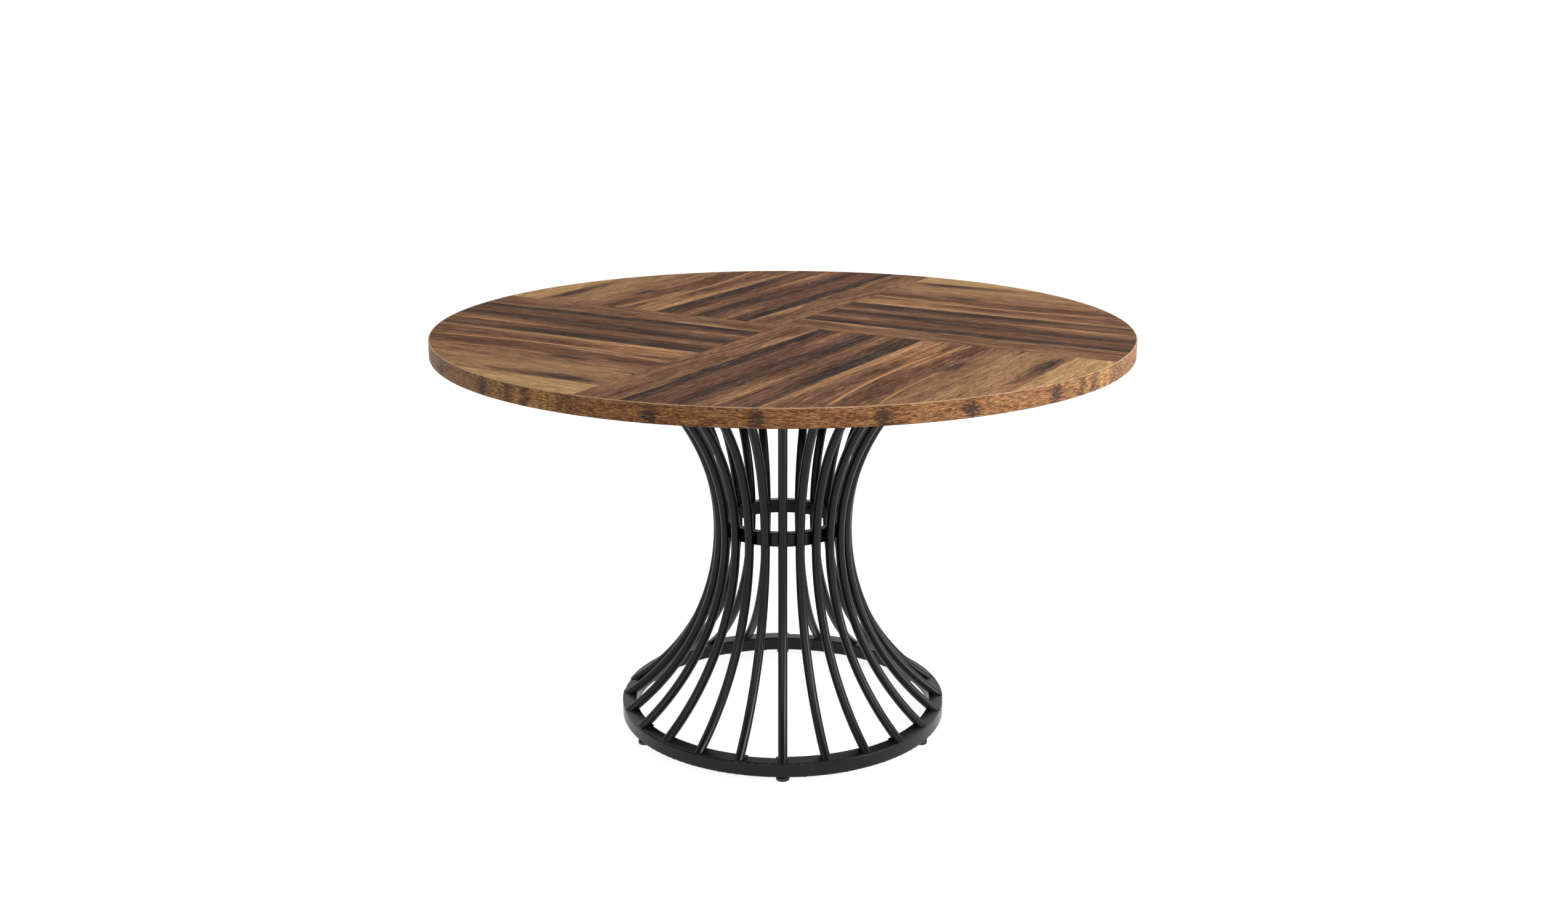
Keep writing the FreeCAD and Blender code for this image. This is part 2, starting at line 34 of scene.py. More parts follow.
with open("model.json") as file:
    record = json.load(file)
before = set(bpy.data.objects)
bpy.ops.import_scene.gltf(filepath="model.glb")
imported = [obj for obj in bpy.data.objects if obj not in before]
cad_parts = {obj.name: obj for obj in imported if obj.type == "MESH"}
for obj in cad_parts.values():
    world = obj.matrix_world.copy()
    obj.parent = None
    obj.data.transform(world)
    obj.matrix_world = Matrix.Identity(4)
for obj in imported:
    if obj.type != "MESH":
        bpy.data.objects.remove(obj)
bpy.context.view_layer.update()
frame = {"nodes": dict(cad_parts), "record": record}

# Millimetres in a metre, which is the length that Blender counts in
METRE = 1000

# Outside radius of the top and height of its underside, in millimetres
TOP_RADIUS = 600
TOP_BASE = 690

BLACK = (0, 0, 0, 1)
WHITE = (1, 1, 1, 1)


def srgb(red, green, blue):
    """Linear colour for display values from 0 to 255."""
    shares = [channel / 255 for channel in (red, green, blue)]
    return tuple(c / 12.92 if c <= 0.04045 else ((c + 0.055) / 1.055) ** 2.4 for c in shares) + (1,)


class Graph:
    """Shader nodes of a material or a world, added and linked by short calls."""

    def __init__(self, owner):
        owner.use_nodes = True
        self.owner = owner
        self.tree = owner.node_tree
        self.shader = self.tree.nodes.get("Principled BSDF")

    def feed(self, socket, given):
        """Link a socket to another one, or set its value."""
        if isinstance(given, bpy.types.NodeSocket):
            self.tree.links.new(given, socket)
        else:
            socket.default_value = given

    def add(self, kind, inputs=None, **settings):
        """Node with its settings and inputs."""
        node = self.tree.nodes.new(kind)
        for key, setting in settings.items():
            setattr(node, key, setting)
        for key, given in (inputs or {}).items():
            self.feed(node.inputs[key], given)
        return node

    def math(self, operation, *given):
        """Result of a sum on numbers."""
        return self.add("ShaderNodeMath", dict(enumerate(given)), operation=operation).outputs[0]

    def spread(self, given, span, result=(0.0, 1.0)):
        """Number carried smoothly from one range to another and held at its ends."""
        inputs = {
            "Value": given,
            "From Min": span[0],
            "From Max": span[1],
            "To Min": result[0],
            "To Max": result[1],
        }
        return self.add("ShaderNodeMapRange", inputs, interpolation_type="SMOOTHSTEP").outputs[0]

    def mix(self, share, first, second):
        """Mixture of two colours."""
        return self.add("ShaderNodeMix", {0: share, 6: first, 7: second}, data_type="RGBA").outputs[2]

    def scale(self, vector, factor):
        """Vector or colour multiplied by a number."""
        inputs = {"Vector": vector, "Scale": factor}
        return self.add("ShaderNodeVectorMath", inputs, operation="SCALE").outputs[0]

    def join(self, x, y, z=0.0):
        """Vector of three numbers."""
        return self.add("ShaderNodeCombineXYZ", {0: x, 1: y, 2: z}).outputs[0]

    def split(self, vector):
        """Three numbers of a vector."""
        return self.add("ShaderNodeSeparateXYZ", {0: vector}).outputs

    def place(self):
        """Point on the object, in millimetres."""
        return self.scale(self.add("ShaderNodeTexCoord").outputs["Object"], METRE)

    def noise(self, place, scale=1.0, detail=2.0, roughness=0.5):
        """Soft random pattern from 0 to 1."""
        inputs = {"Vector": place, "Scale": scale, "Detail": detail, "Roughness": roughness}
        return self.add("ShaderNodeTexNoise", inputs).outputs[0]

    def streaks(self, along, across, length, width, seed, **settings):
        """Soft random pattern drawn out along one direction."""
        place = self.join(self.math("DIVIDE", along, length), self.math("DIVIDE", across, width), seed)
        return self.noise(place, **settings)

    def sway(self, pattern, reach):
        """Number that swings either side of zero by about a reach."""
        return self.math("MULTIPLY", self.math("SUBTRACT", pattern, 0.5), 2 * reach)

    def ramp(self, given, stops):
        """Colour that changes along a number from 0 to 1."""
        node = self.add("ShaderNodeValToRGB", {0: given})
        elements = node.color_ramp.elements
        for element, (position, colour) in ((elements[0], stops[0]), (elements[1], stops[-1])):
            element.position = position
            element.color = colour
        for position, colour in stops[1:-1]:
            elements.new(position).color = colour
        return node.outputs[0]

    def bump(self, height, strength, distance):
        """Bump that the shader's normal follows, with its distance in millimetres."""
        inputs = {"Height": height, "Strength": strength, "Distance": distance / METRE}
        self.feed(self.shader.inputs["Normal"], self.add("ShaderNodeBump", inputs).outputs[0])

    def finish(self, inputs):
        """Set the shader's inputs by name, and return the material."""
        for key, given in inputs.items():
            self.feed(self.shader.inputs[key], given)
        return self.owner


# Colours of the printed planks
TAN = srgb(178, 142, 100)
SAND = srgb(156, 120, 88)
OAK = srgb(140, 104, 80)
BROWN = srgb(121, 89, 71)
RUSSET = srgb(110, 79, 64)
DARK = srgb(85, 68, 61)
UMBER = srgb(64, 55, 52)
STREAK = srgb(196, 146, 99)

# Turn of the print's quarters from the x axis
PRINT_TURN = math.radians(60)

# Edges of the planks within one quarter of the top, as distances across the grain
PLANK_EDGES = (0, 71, 265, 533, 700)

# Distance from a plank's edge within which its grain runs straighter
STRAIGHT_GRAIN = 14

# Main tone across the grain of one quarter, as distances and colours
TONES = (
    (0, OAK), (22, OAK), (45, BROWN), (70, OAK),
    (71.5, DARK), (82, UMBER), (94, DARK), (106, RUSSET), (126, RUSSET), (146, RUSSET), (160, DARK),
    (186, RUSSET), (203, BROWN), (224, RUSSET), (242, DARK), (264.5, DARK),
    (265.5, SAND), (282, OAK), (302, BROWN), (330, BROWN), (346, BROWN), (376, RUSSET), (394, BROWN),
    (410, OAK), (445, SAND), (482, SAND), (506, SAND), (532.5, OAK),
    (533.5, TAN), (600, TAN),
)

# Patches of the print: plank, middle along and across the grain, half length, half width, colour, share
PATCHES = (
    (0, 20, 46, 70, 20, RUSSET, 0.85),
    (0, 120, 60, 60, 10, SAND, 0.8),
    (0, 290, 46, 60, 16, RUSSET, 0.6),
    (0, 385, 58, 60, 11, SAND, 0.8),
    (0, 530, 54, 120, 15, RUSSET, 0.85),
    (1, 60, 123, 120, 6, STREAK, 0.4),
    (1, 150, 148, 190, 8, UMBER, 0.65),
    (1, 110, 177, 150, 14, UMBER, 0.75),
    (1, 75, 204, 80, 10, OAK, 0.8),
    (1, 430, 195, 150, 18, OAK, 0.9),
    (1, 480, 208, 110, 8, STREAK, 0.35),
    (1, 500, 245, 150, 14, RUSSET, 0.7),
    (1, 470, 150, 130, 10, UMBER, 0.5),
    (1, 190, 250, 230, 15, UMBER, 0.8),
    (1, 470, 246, 90, 7, BROWN, 0.7),
    (2, 230, 275, 330, 9, STREAK, 0.42),
    (2, 90, 302, 150, 22, STREAK, 0.36),
    (2, 340, 306, 210, 15, RUSSET, 0.9),
    (2, 110, 344, 100, 8, STREAK, 0.5),
    (2, 340, 364, 200, 22, RUSSET, 0.85),
    (2, 25, 370, 80, 16, RUSSET, 0.7),
    (2, 155, 393, 32, 12, UMBER, 0.9),
    (2, 350, 440, 110, 8, BROWN, 0.6),
    (2, 5, 445, 30, 4, DARK, 0.9),
    (2, 90, 514, 84, 18, DARK, 0.7),
    (2, 70, 514, 56, 11, UMBER, 0.7),
    (2, 175, 514, 72, 12, BROWN, 0.7),
)

# Where a patch begins and where it is full, as shares of its half length and half width
PATCH_FADE = (1.2, 0.55)

# Lines of the print: plank, start, end and bend along the grain, place across it at the bend, how fast
# the line runs off across the grain either side of the bend, half width, colour, share
LINES = (
    (0, 60, 600, 140, 32, -0.00062, 1.8, UMBER, 0.9),
    (0, 385, 600, 385, 31, -0.0065, 1.8, UMBER, 0.9),
    (0, -60, 280, 60, 19, -0.00008, 1.3, DARK, 0.65),
    (0, 430, 600, 520, 36, 0.0002, 1.5, RUSSET, 0.8),
    (0, -60, 150, 0, 68, 0.0, 1.6, STREAK, 0.6),
    (1, 430, 660, 430, 76, -0.0001, 1.8, STREAK, 0.55),
    (1, -60, 230, 60, 143, 0.00004, 1.6, OAK, 0.7),
    (1, 410, 590, 480, 228, 0.0001, 1.5, OAK, 0.7),
    (1, 380, 600, 500, 240, -0.0001, 1.6, OAK, 0.75),
    (1, 400, 580, 480, 251, 0.0001, 1.4, BROWN, 0.8),
    (2, 150, 350, 340, 275, 0.0004, 2.2, STREAK, 0.7),
    (2, 55, 500, 215, 327, 0.0003, 2.6, STREAK, 0.9),
    (2, -60, 80, -30, 354, -0.0006, 2.2, STREAK, 0.75),
    (2, 180, 470, 270, 391, 0.0005, 1.8, STREAK, 0.75),
    (2, 215, 330, 260, 440, 0.0002, 1.6, RUSSET, 0.8),
    (2, -60, 60, 0, 444, 0.0, 2.4, UMBER, 0.8),
)

# Where a line begins and where it is full, as shares of its half width, and how long its ends take to fade
LINE_FADE = (1.7, 0.4)
LINE_TAPER = 60


def quarter_places(g):
    """Distances along and across the grain, within the quarter that a point lies in."""
    inputs = {"Vector": g.place(), "Angle": -PRINT_TURN}
    x, y = g.split(g.add("ShaderNodeVectorRotate", inputs, rotation_type="Z_AXIS").outputs[0])[:2]
    x_size = g.math("ABSOLUTE", x)
    y_size = g.math("ABSOLUTE", y)
    is_even = g.math("GREATER_THAN", g.math("MULTIPLY", x, y), 0.0)
    along = g.math("MULTIPLY_ADD", is_even, g.math("SUBTRACT", x_size, y_size), y_size)
    across = g.math("SUBTRACT", g.math("ADD", x_size, y_size), along)
    return along, across


def plank_covers(g, across):
    """Number for each plank that is 1 on it and else 0, and the distance to the nearest plank's edge."""
    covers = []
    nearest = across
    for low, high in zip(PLANK_EDGES, PLANK_EDGES[1:]):
        nearest = g.math("MINIMUM", nearest, g.math("ABSOLUTE", g.math("SUBTRACT", across, high)))
        above = g.math("GREATER_THAN", across, low)
        covers.append(g.math("MULTIPLY", above, g.math("LESS_THAN", across, high)))
    return covers, nearest


def add_patches(g, colour, spot, planks):
    """Colour with the print's patches laid over it."""
    for plank, middle_along, middle_across, half_length, half_width, tone, share in PATCHES:
        inputs = {
            "Vector": spot,
            "Location": (middle_along, middle_across, 0),
            "Scale": (half_length, half_width, 1),
        }
        local = g.add("ShaderNodeMapping", inputs, vector_type="TEXTURE").outputs[0]
        distance = g.add("ShaderNodeVectorMath", {0: local}, operation="LENGTH").outputs["Value"]
        cover = g.math("MULTIPLY", g.spread(distance, PATCH_FADE, (0.0, share)), planks[plank])
        colour = g.mix(cover, colour, tone)
    return colour


def add_lines(g, colour, along, across, planks):
    """Colour with the print's lines laid over it."""
    for plank, start, end, bend, rest, curve, half_width, tone, share in LINES:
        run = g.math("SUBTRACT", along, bend)
        course = g.math("MULTIPLY_ADD", g.math("MULTIPLY", run, run), curve, rest)
        offset = g.math("ABSOLUTE", g.math("SUBTRACT", across, course))
        width = g.spread(offset, [fade * half_width for fade in LINE_FADE], (0.0, share))
        first_end = g.spread(along, (start, start + LINE_TAPER))
        last_end = g.spread(along, (end, end - LINE_TAPER))
        cover = g.math("MULTIPLY", width, g.math("MULTIPLY", first_end, last_end))
        colour = g.mix(g.math("MULTIPLY", cover, planks[plank]), colour, tone)
    return colour


def printed_top():
    """Printed plank pattern: the same print in each quarter, turned with it."""
    g = Graph(bpy.data.materials.new("printed_top"))
    along, across = quarter_places(g)
    planks, nearest = plank_covers(g, across)

    wander = g.sway(g.streaks(along, across, length=230, width=40, seed=1), 9)
    fray = g.sway(g.streaks(along, across, length=130, width=3, seed=2), 4)
    freedom = g.spread(nearest, (0, STRAIGHT_GRAIN))
    loose_across = g.math("ADD", across, g.math("MULTIPLY", g.math("ADD", wander, fray), freedom))
    feather = g.streaks(along, across, length=120, width=2.6, seed=3, detail=4, roughness=0.65)
    loose_along = g.math("ADD", along, g.sway(feather, 130))

    tones = [(distance / TOP_RADIUS, tone) for distance, tone in TONES]
    colour = g.ramp(g.math("DIVIDE", loose_across, TOP_RADIUS), tones)
    colour = add_patches(g, colour, g.join(loose_along, loose_across), planks)

    calm = g.spread(loose_across, (370, 440), (1.0, 0.4))
    clouds = g.streaks(along, across, length=140, width=24, seed=7, detail=3)
    colour = g.scale(colour, g.spread(clouds, (0.36, 0.64), (0.86, 1.14)))
    bands = g.streaks(along, loose_across, length=220, width=6, seed=4, detail=4, roughness=0.7)
    band_swing = g.spread(bands, (0.38, 0.62), (-0.34, 0.3))
    colour = g.scale(colour, g.math("MULTIPLY_ADD", band_swing, calm, 1.0))
    glints = g.streaks(along, loose_across, length=52, width=4, seed=6, detail=4, roughness=0.65)
    glint_share = g.math("MULTIPLY", g.math("MULTIPLY_ADD", planks[1], -0.3, 0.55), calm)
    colour = g.mix(g.math("MULTIPLY", g.spread(glints, (0.55, 0.68)), glint_share), colour, STREAK)
    fibres = g.streaks(along, loose_across, length=38, width=1.9, seed=5, detail=4, roughness=0.75)
    colour = g.scale(colour, g.spread(fibres, (0.34, 0.66), (0.52, 1.44)))
    pores = g.streaks(along, across, length=15, width=1.5, seed=8)
    colour = g.scale(colour, g.spread(pores, (0.59, 0.67), (1.0, 0.52)))

    colour = add_lines(g, colour, along, g.math("MULTIPLY_ADD", fray, 0.5, across), planks)
    seam = g.spread(g.math("MINIMUM", along, across), (0.2, 0.9), (0.45, 0.0))
    colour = g.mix(seam, colour, UMBER)

    relief = g.math("ADD", g.math("MULTIPLY", fibres, 0.7), g.math("MULTIPLY", bands, 0.3))
    g.bump(relief, strength=0.25, distance=0.35)
    roughness = g.spread(fibres, (0.2, 0.8), (0.6, 0.5))
    return g.finish({"Base Color": colour, "Roughness": roughness, "Specular IOR Level": 0.001})


# Colours of the edge print, and of the painted highlight along its top rim
EDGE_DARK = srgb(110, 66, 35)
EDGE_LIGHT = srgb(152, 104, 64)
EDGE_GOLD = srgb(186, 143, 84)
EDGE_BROWN = srgb(92, 57, 33)
EDGE_FLECK = srgb(202, 157, 108)
EDGE_MARK = srgb(58, 41, 32)
EDGE_RIM_HIGHLIGHT = srgb(205, 170, 132)

# Places of the edge print, as shares of half a turn from the left side to the right side, each kind with
# the half share that it takes up: ragged dark marks, golden zones, brown curls and brown shades in them
MARK_SHARES = (0.147, 0.231, 0.4, 0.481, 0.575, 0.647, 0.733, 0.93)
MARK_HALF = 0.013
GOLD_SHARES = (0.29, 0.795)
GOLD_HALF = 0.05
CURL_SHARES = (0.264, 0.284, 0.767, 0.787)
CURL_HALF = 0.0095
SHADE_SHARES = (0.328, 0.83)
SHADE_HALF = 0.02

# How far the edge's tone leans to its light colour, by the same shares
EDGE_LEANS = ((0, 0.45), (0.25, 0.7), (0.42, 0.5), (0.6, 0.6), (0.8, 0.65), (1, 0.5))

# Heights on the edge, in millimetres: where the dark marks are widest, and where the painted highlight
# along the top rim fades in
MARK_MIDDLE = 12
RIM_HIGHLIGHT_FADE = (28.4, 29.6)


def peaks(places, half):
    """Ramp stops that rise to white at each place."""
    stops = []
    for position in places:
        stops += [(position - half, BLACK), (position, WHITE), (position + half, BLACK)]
    return stops


def add_curls(g, colour, arc, height, half_turns, share):
    """Colour with the edge print's golden zones and the brown figure in them."""
    gold = g.spread(g.ramp(share, peaks(GOLD_SHARES, GOLD_HALF)), (0.0, 0.8))
    stripes = g.spread(g.streaks(arc, height, length=11, width=60, seed=3), (0.4, 0.6), (0.25, 0.85))
    colour = g.mix(g.math("MULTIPLY", gold, stripes), colour, EDGE_GOLD)
    shade = g.ramp(share, peaks(SHADE_SHARES, SHADE_HALF))
    colour = g.mix(g.spread(shade, (0.0, 0.7), (0.0, 0.6)), colour, EDGE_BROWN)
    bend = g.sway(g.streaks(arc, height, length=40, width=10, seed=7, detail=1), 0.01)
    curl = g.ramp(g.math("FRACT", g.math("ADD", half_turns, bend)), peaks(CURL_SHARES, CURL_HALF))
    return g.mix(g.spread(curl, (0.1, 0.7), (0.0, 0.9)), colour, EDGE_BROWN)


def printed_edge():
    """Printed edge band: rough-sawn grain with light flecks and ragged dark marks, with a painted
    highlight along its top rim.
    """
    g = Graph(bpy.data.materials.new("printed_edge"))
    x, y, z = g.split(g.place())
    turn = g.math("ARCTAN2", x, g.math("MULTIPLY", y, -1.0))
    arc = g.math("MULTIPLY", turn, TOP_RADIUS)
    height = g.math("SUBTRACT", z, TOP_BASE)
    half_turns = g.math("ADD", g.math("DIVIDE", turn, math.pi), 0.5)
    ragged = g.streaks(arc, height, length=14, width=2.4, seed=1, detail=3, roughness=0.7)
    share = g.math("FRACT", g.math("ADD", half_turns, g.sway(ragged, 0.022)))

    lean = g.ramp(share, [(position, (level, level, level, 1)) for position, level in EDGE_LEANS])
    clouds = g.streaks(arc, height, length=60, width=9, seed=2, detail=3)
    tone = g.math("MULTIPLY_ADD", g.math("SUBTRACT", lean, 0.5), 0.4, clouds)
    colour = g.mix(g.spread(tone, (0.35, 0.65)), EDGE_DARK, EDGE_LIGHT)
    colour = add_curls(g, colour, arc, height, half_turns, share)
    grain = g.streaks(arc, height, length=13, width=2.2, seed=4, detail=4, roughness=0.7)
    colour = g.scale(colour, g.spread(grain, (0.36, 0.64), (0.35, 1.6)))
    flecks = g.streaks(arc, height, length=9, width=1.1, seed=5)
    colour = g.mix(g.spread(flecks, (0.56, 0.63), (0.0, 0.85)), colour, EDGE_FLECK)

    mark = g.ramp(share, peaks(MARK_SHARES, MARK_HALF))
    off_middle = g.math("ABSOLUTE", g.math("SUBTRACT", height, MARK_MIDDLE))
    narrowing = g.spread(off_middle, (2.0, 15.0), (0.56, 0.8))
    cover = g.spread(g.math("SUBTRACT", mark, narrowing), (-0.06, 0.08), (0.0, 0.92))
    colour = g.mix(cover, colour, EDGE_MARK)
    # Painted highlight: a pale line along the top rim of the band, where its rounded edge would catch the
    # light
    colour = g.mix(g.spread(height, RIM_HIGHLIGHT_FADE, (0.0, 0.55)), colour, EDGE_RIM_HIGHLIGHT)

    g.bump(grain, strength=0.3, distance=0.4)
    roughness = g.spread(grain, (0.3, 0.7), (0.6, 0.5))
    return g.finish({"Base Color": colour, "Roughness": roughness, "Specular IOR Level": 0.2})


def plain_sheet():
    """Matt brown balancing sheet with a faint fibre."""
    g = Graph(bpy.data.materials.new("backer"))
    spot = g.place()
    x, y = g.split(spot)[:2]
    fibre = g.streaks(x, y, length=60, width=2.0, seed=1, detail=4, roughness=0.65)
    cloud = g.noise(spot, scale=0.02, detail=3.0)
    colour = g.mix(g.spread(fibre, (0.35, 0.65)), srgb(92, 70, 54), srgb(110, 85, 66))
    colour = g.mix(g.spread(cloud, (0.4, 0.65), (0.0, 0.3)), colour, srgb(84, 62, 48))
    g.bump(fibre, strength=0.15, distance=0.2)
    return g.finish({"Base Color": colour, "Roughness": g.spread(fibre, (0.3, 0.7), (0.7, 0.6))})


def fibre_board():
    """Raw fibreboard of the core."""
    g = Graph(bpy.data.materials.new("board"))
    spot = g.place()
    fibre = g.noise(spot, scale=0.9, detail=5.0, roughness=0.7)
    cloud = g.noise(spot, scale=0.05)
    colour = g.mix(g.spread(fibre, (0.35, 0.68)), srgb(150, 118, 84), srgb(188, 156, 118))
    colour = g.mix(g.spread(cloud, (0.4, 0.65), (0.0, 0.25)), colour, srgb(140, 108, 78))
    g.bump(fibre, strength=0.2, distance=0.2)
    return g.finish({"Base Color": colour, "Roughness": g.spread(fibre, (0.3, 0.7), (0.9, 0.8))})


def powder_coat():
    """Satin black powder coat with a fine orange peel."""
    g = Graph(bpy.data.materials.new("frame_black"))
    spot = g.place()
    peel = g.noise(spot, scale=0.9)
    cloud = g.noise(spot, scale=0.012, detail=3.0)
    specks = g.noise(spot, scale=2.2, detail=1.0)
    colour = g.mix(g.spread(cloud, (0.35, 0.65)), srgb(14, 14, 15), srgb(19, 19, 20))
    colour = g.mix(g.spread(specks, (0.68, 0.76), (0.0, 0.3)), colour, srgb(40, 40, 41))
    roughness = g.math("ADD", g.spread(cloud, (0.3, 0.7), (0.27, 0.32)), g.sway(peel, 0.03))
    g.bump(peel, strength=0.06, distance=0.06)
    return g.finish({"Base Color": colour, "Roughness": roughness, "Specular IOR Level": 0.24})


def black_oxide():
    """Blackened steel of the bolts and screws."""
    g = Graph(bpy.data.materials.new("black_bolts"))
    wear = g.noise(g.place(), scale=0.6, detail=4.0, roughness=0.65)
    colour = g.mix(g.spread(wear, (0.4, 0.7)), srgb(28, 28, 30), srgb(58, 57, 56))
    roughness = g.spread(wear, (0.3, 0.7), (0.5, 0.36))
    g.bump(wear, strength=0.1, distance=0.1)
    return g.finish({"Base Color": colour, "Metallic": 0.8, "Roughness": roughness})


def zinc_plate():
    """Zinc-plated steel, slightly clouded."""
    g = Graph(bpy.data.materials.new("zinc_steel"))
    spot = g.place()
    cloud = g.noise(spot, scale=0.25, detail=4.0, roughness=0.6)
    grain = g.noise(spot, scale=4.0, detail=3.0)
    colour = g.mix(g.spread(cloud, (0.35, 0.65)), srgb(168, 170, 168), srgb(196, 194, 182))
    roughness = g.spread(cloud, (0.3, 0.7), (0.42, 0.3))
    g.bump(grain, strength=0.12, distance=0.05)
    return g.finish({"Base Color": colour, "Metallic": 1.0, "Roughness": roughness})


def nylon():
    """Moulded black nylon of the feet."""
    g = Graph(bpy.data.materials.new("foot_plastic"))
    spot = g.place()
    grain = g.noise(spot, scale=3.0, detail=3.0)
    cloud = g.noise(spot, scale=0.15)
    colour = g.mix(g.spread(cloud, (0.35, 0.65)), srgb(17, 17, 18), srgb(26, 26, 26))
    g.bump(grain, strength=0.25, distance=0.12)
    return g.finish({"Base Color": colour, "Roughness": g.spread(grain, (0.3, 0.7), (0.62, 0.5))})


MATERIALS = {
    "printed_top": printed_top(),
    "printed_edge": printed_edge(),
    "backer": plain_sheet(),
    "board": fibre_board(),
    "frame_black": powder_coat(),
    "black_bolts": black_oxide(),
    "zinc_steel": zinc_plate(),
    "foot_plastic": nylon(),
}
for subpart in frame["record"]["subparts"]:
    for slot in frame["nodes"][subpart["node"]].material_slots:
        slot.material = MATERIALS[subpart["material_slot"]]

# Studs of the feet: a pin in the pad, a hexagon and a thread, in millimetres
FEET = 6
STUD_STEPS = 36
PIN_RADIUS = 3
PIN_CHAMFER = 0.4
HEX_BASE = 6
HEX_TOP = 7.8
HEX_HALF_WIDTH = 6.5
HEX_FACE_RADIUS = 6.4
HEX_CHAMFER_SLOPE = 0.36
HEX_SIDE_TURN = math.pi / 3
THREAD_PITCH = 1.25
ROOT_RADIUS = 3.2
CREST_RADIUS = 4
TIP_CHAMFER = 0.5

# Start and end of the thread's crest as shares of the pitch, and steps over which it rises and dies away
CREST_START = 0.43
CREST_END = 0.57
RUN_OUT_STEPS = 18

# Turn between two faces from which the edge between them looks sharp
SHARP_TURN = math.radians(30)


def step_turn(step):
    """Angle of a step round the stud's axis."""
    return 2 * math.pi * step / STUD_STEPS


def stud_point(radius, step, height):
    """Point at a step round the stud's axis."""
    turn = step_turn(step)
    return (radius * math.cos(turn), radius * math.sin(turn), height)


def add_circle(shape, radius, height):
    """Vertices on a level circle round the axis."""
    return [shape.verts.new(stud_point(radius, step, height)) for step in range(STUD_STEPS)]


def add_hexagon_line(shape, face, inwards):
    """Vertices where a hexagon's sides meet its chamfer, near one of its faces."""
    line = []
    for step in range(STUD_STEPS):
        side = HEX_HALF_WIDTH / math.cos(step_turn(step) % HEX_SIDE_TURN - HEX_SIDE_TURN / 2)
        drop = (side - HEX_FACE_RADIUS) * HEX_CHAMFER_SLOPE
        line.append(shape.verts.new(stud_point(side, step, face + inwards * drop)))
    return line


def add_band(shape, lower, upper):
    """Faces between two rings of vertices."""
    for step in range(STUD_STEPS):
        after = (step + 1) % STUD_STEPS
        shape.faces.new((lower[step], lower[after], upper[after], upper[step]))


def add_thread(shape, lower, turns):
    """Right-hand thread that starts at a ring of vertices; returns the ring where it ends."""
    last = (turns - 1) * STUD_STEPS

    def add_point(radius, step, share):
        height = HEX_TOP + THREAD_PITCH * (step / STUD_STEPS + share)
        return shape.verts.new(stud_point(radius, step, height))

    def crest_radius(step):
        rise = min(1, (step + 1) / RUN_OUT_STEPS, (last - step + 1) / RUN_OUT_STEPS)
        return ROOT_RADIUS + (CREST_RADIUS - ROOT_RADIUS) * rise

    root = [lower[0]] + [add_point(ROOT_RADIUS, step, 0) for step in range(1, last + STUD_STEPS + 1)]
    crest_start = [add_point(crest_radius(step), step, CREST_START) for step in range(last + 1)]
    crest_end = [add_point(crest_radius(step), step, CREST_END) for step in range(last + 1)]
    upper = add_circle(shape, ROOT_RADIUS, HEX_TOP + THREAD_PITCH * turns)
    shape.verts.remove(upper[0])
    upper[0] = root[-1]

    for step in range(last):
        lines = (root[step:], crest_start[step:], crest_end[step:], root[step + STUD_STEPS:])
        for below, above in zip(lines, lines[1:]):
            shape.faces.new((below[0], below[1], above[1], above[0]))
    for step in (0, last):
        shape.faces.new((root[step], crest_start[step], crest_end[step], root[step + STUD_STEPS]))
    shape.faces.new((lower[0], lower[1], root[1]))
    shape.faces.new((root[-2], upper[0], upper[-1]))
    for step in range(1, STUD_STEPS):
        shape.faces.new((lower[step], lower[(step + 1) % STUD_STEPS], root[step + 1], root[step]))
    for step in range(STUD_STEPS - 1):
        shape.faces.new((root[last + step], root[last + step + 1], upper[step + 1], upper[step]))
    return upper


def stud_shape(base, top):
    """Closed shape of a stud round the z axis, between two heights."""
    shape = bmesh.new()
    rings = [
        add_circle(shape, PIN_RADIUS - PIN_CHAMFER, base),
        add_circle(shape, PIN_RADIUS, base + PIN_CHAMFER),
        add_circle(shape, PIN_RADIUS, HEX_BASE),
        add_circle(shape, HEX_FACE_RADIUS, HEX_BASE),
        add_hexagon_line(shape, HEX_BASE, 1),
        add_hexagon_line(shape, HEX_TOP, -1),
        add_circle(shape, HEX_FACE_RADIUS, HEX_TOP),
        add_circle(shape, ROOT_RADIUS, HEX_TOP),
    ]
    for lower, upper in zip(rings, rings[1:]):
        add_band(shape, lower, upper)
    thread_end = add_thread(shape, rings[-1], int((top - HEX_TOP) / THREAD_PITCH))
    tip = add_circle(shape, ROOT_RADIUS - TIP_CHAMFER, top)
    add_band(shape, thread_end, tip)
    shape.faces.new(rings[0])
    shape.faces.new(tip)
    bmesh.ops.recalc_face_normals(shape, faces=shape.faces)
    return shape


def make_stud(number):
    """Stud of a foot, in place of its plain solid."""
    node = f"foot_stud_{number}"
    low, high = (Vector(corner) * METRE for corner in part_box(node))
    shape = stud_shape(low.z, high.z)
    middle = (low + high) / 2
    turn = Matrix.Rotation(math.atan2(middle.y, middle.x), 4, "Z")
    shape.transform(Matrix.Scale(1 / METRE, 4) @ Matrix.Translation((middle.x, middle.y, 0)) @ turn)
    mesh = bpy.data.meshes.new(f"threaded_stud_{number}")
    shape.to_mesh(mesh)
    shape.free()
    mesh.shade_smooth()
    mesh.set_sharp_from_angle(angle=SHARP_TURN)
    mesh.materials.append(MATERIALS["zinc_steel"])
    stud = bpy.data.objects.new(mesh.name, mesh)
    bpy.context.scene.collection.objects.link(stud)
    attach(stud, node)
    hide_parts(node)


for number in range(1, FEET + 1):
    make_stud(number)

# Floor: size in metres, the colour that takes light and shadow, and the glow that makes it look white
FLOOR_SIZE = 60
FLOOR_COLOUR = (0.42, 0.42, 0.42, 1)
FLOOR_GLOW = 0.88

# Strength of the surroundings as a light; to the camera and in reflections they are white
AMBIENT = 0.3

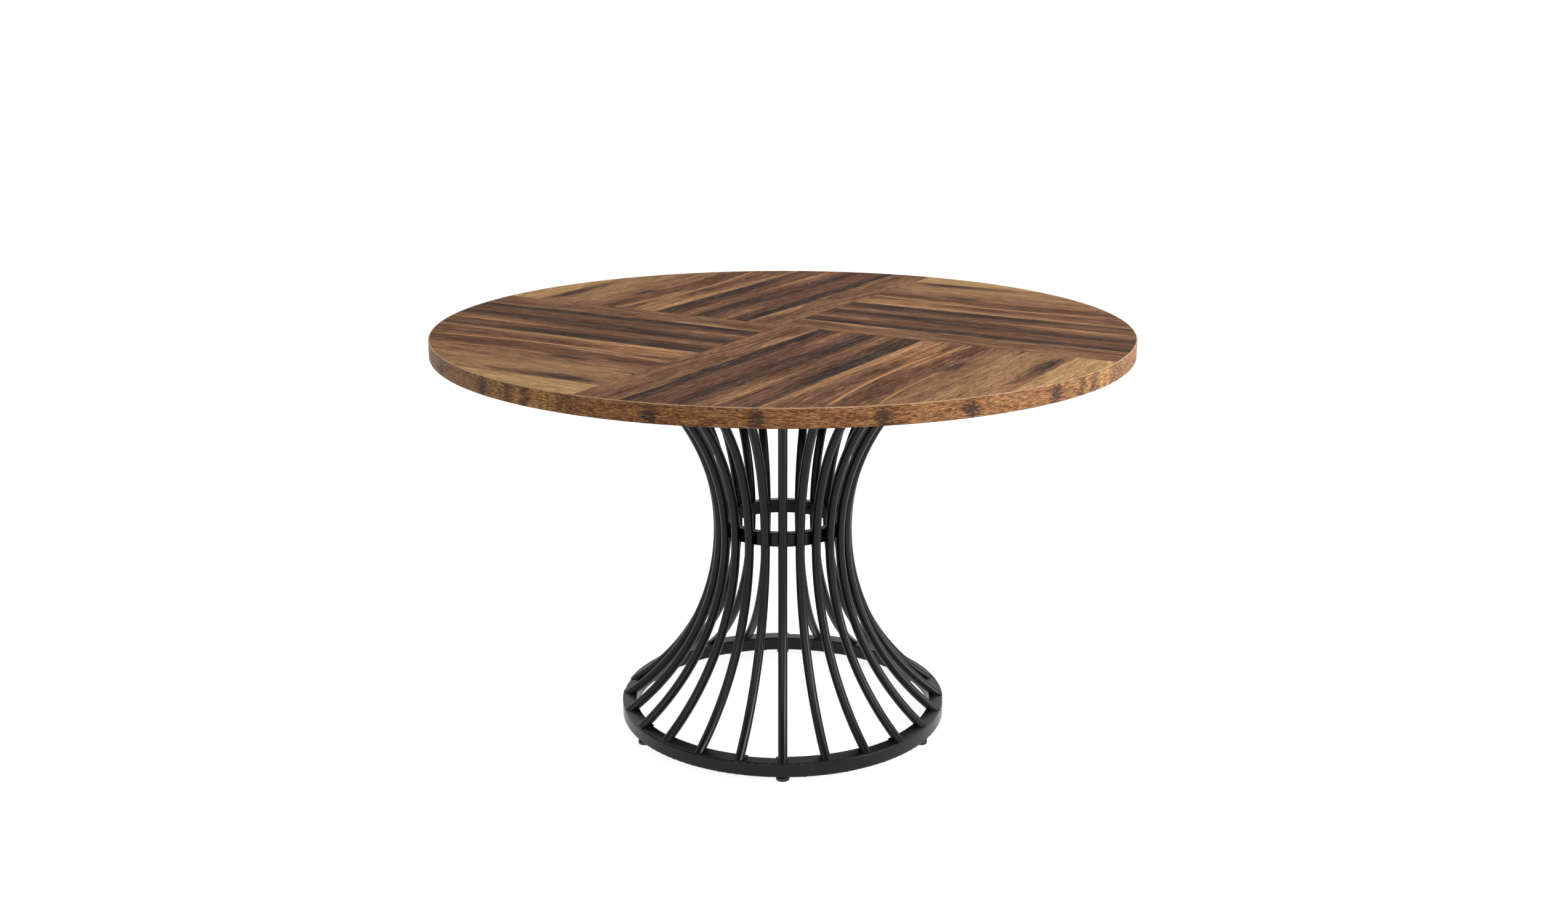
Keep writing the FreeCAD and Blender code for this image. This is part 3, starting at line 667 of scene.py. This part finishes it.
# Studio lamps: name, place, aim, width and height in metres, and power in watts
SOFTBOXES = (
    ("key", (3.15, -1.17, 2.08), (0, 0, 0.3), 1.3, 3.0, 132),
    ("front", (-0.5, -3.2, 2.2), (0, 0, 0.4), 2.4, 2.0, 28),
    ("top", (-0.5, 1.8, 3.2), (0, 0, 0.7), 2.2, 2.2, 29),
)


def seen_share(g):
    """Number that is 1 for rays from the camera, from reflections and through glass, and else 0."""
    rays = g.add("ShaderNodeLightPath").outputs
    direct = g.math("MAXIMUM", rays["Is Camera Ray"], rays["Is Glossy Ray"])
    return g.math("MAXIMUM", direct, rays["Is Transmission Ray"])


def make_floor():
    """Pale floor that looks white and keeps the table's shadow."""
    g = Graph(bpy.data.materials.new("floor_white"))
    g.tree.nodes.remove(g.shader)
    matt = g.add("ShaderNodeBsdfDiffuse", {"Color": FLOOR_COLOUR})
    glow = g.add("ShaderNodeEmission", {"Strength": g.math("MULTIPLY", seen_share(g), FLOOR_GLOW)})
    both = g.add("ShaderNodeAddShader", {0: matt.outputs[0], 1: glow.outputs[0]})
    g.feed(g.tree.nodes["Material Output"].inputs["Surface"], both.outputs[0])
    bpy.ops.mesh.primitive_plane_add(size=FLOOR_SIZE, location=(0, 0, 0))
    floor = bpy.context.object
    floor.name = "floor"
    floor.data.materials.append(g.owner)


def make_surroundings():
    """World that lights evenly from all sides and looks white."""
    g = Graph(bpy.data.worlds.new("studio"))
    inputs = {"Value": seen_share(g), "To Min": AMBIENT, "To Max": 1.0}
    background = g.tree.nodes["Background"]
    g.feed(background.inputs["Color"], WHITE)
    g.feed(background.inputs["Strength"], g.add("ShaderNodeMapRange", inputs).outputs[0])
    bpy.context.scene.world = g.owner


def make_softbox(name, place, aim, width, height, power):
    """Studio lamp with a flat face, aimed at a point."""
    lamp = bpy.data.lights.new(name, "AREA")
    lamp.shape = "RECTANGLE"
    lamp.size = width
    lamp.size_y = height
    lamp.energy = power
    holder = bpy.data.objects.new(name, lamp)
    holder.location = place
    holder.rotation_euler = (Vector(aim) - Vector(place)).to_track_quat("-Z", "Y").to_euler()
    bpy.context.scene.collection.objects.link(holder)


make_floor()
make_surroundings()
for softbox in SOFTBOXES:
    make_softbox(*softbox)

# Camera at the photograph's viewing angle: pixels of the photograph, place in metres, pitch in radians
PHOTO_WIDTH = 2544
FOCAL_PIXELS = 2634.43
OFF_CENTRE_PIXELS = 2
CAMERA_PLACE = (0, -2.76363, 1.2515)
CAMERA_PITCH = 0.26577969
SENSOR_WIDTH = 36
FARTHEST_SEEN = 100


def make_camera():
    """Camera that sees the table as the photograph does."""
    view = bpy.data.cameras.new("camera")
    view.sensor_fit = "HORIZONTAL"
    view.sensor_width = SENSOR_WIDTH
    view.lens = SENSOR_WIDTH * FOCAL_PIXELS / PHOTO_WIDTH
    view.shift_x = OFF_CENTRE_PIXELS / PHOTO_WIDTH
    view.clip_end = FARTHEST_SEEN
    camera = bpy.data.objects.new("camera", view)
    camera.location = CAMERA_PLACE
    camera.rotation_euler = (math.pi / 2 - CAMERA_PITCH, 0, 0)
    bpy.context.scene.collection.objects.link(camera)
    bpy.context.scene.camera = camera


make_camera()
bpy.context.scene.view_settings.view_transform = "Standard"
